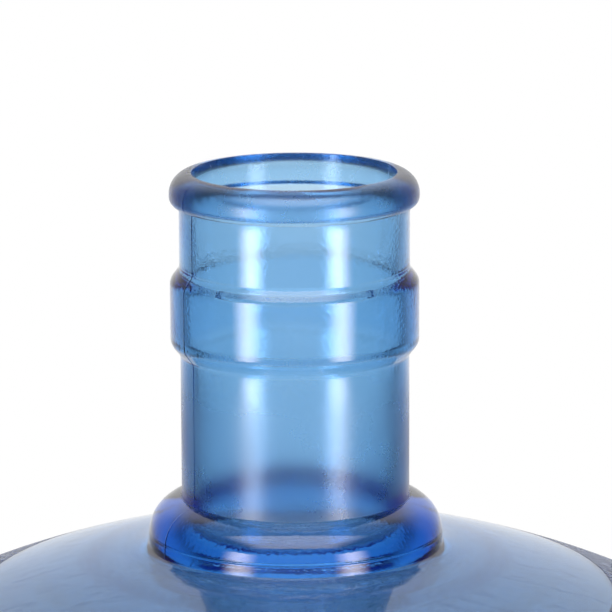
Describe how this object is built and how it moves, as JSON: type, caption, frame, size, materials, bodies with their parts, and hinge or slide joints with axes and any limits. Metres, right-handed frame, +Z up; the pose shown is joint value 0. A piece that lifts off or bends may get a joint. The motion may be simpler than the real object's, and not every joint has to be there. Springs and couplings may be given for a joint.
{
  "type": "water jug",
  "caption": "Large clear blue drinking-water jug: long open neck with snap-cap bead, raised band and collar, domed shoulder, ribbed barrel with a trapped carry handle, footed base.",
  "frame": {"origin": "on the plane the jug stands on, at the jug's axis", "axes": "+Z up along the jug's axis, towards the mouth; +X towards the carry handle"},
  "size_m": [0.27, 0.27, 0.485],
  "materials": {
    "bottle_plastic": "clear glossy blue plastic, pebbled on the outer shoulder",
    "handle_plastic": "satin moulded blue plastic"
  },
  "bodies": {
    "root": {"bottle": "bottle_plastic", "handle": "handle_plastic"}
  },
  "joints": []
}
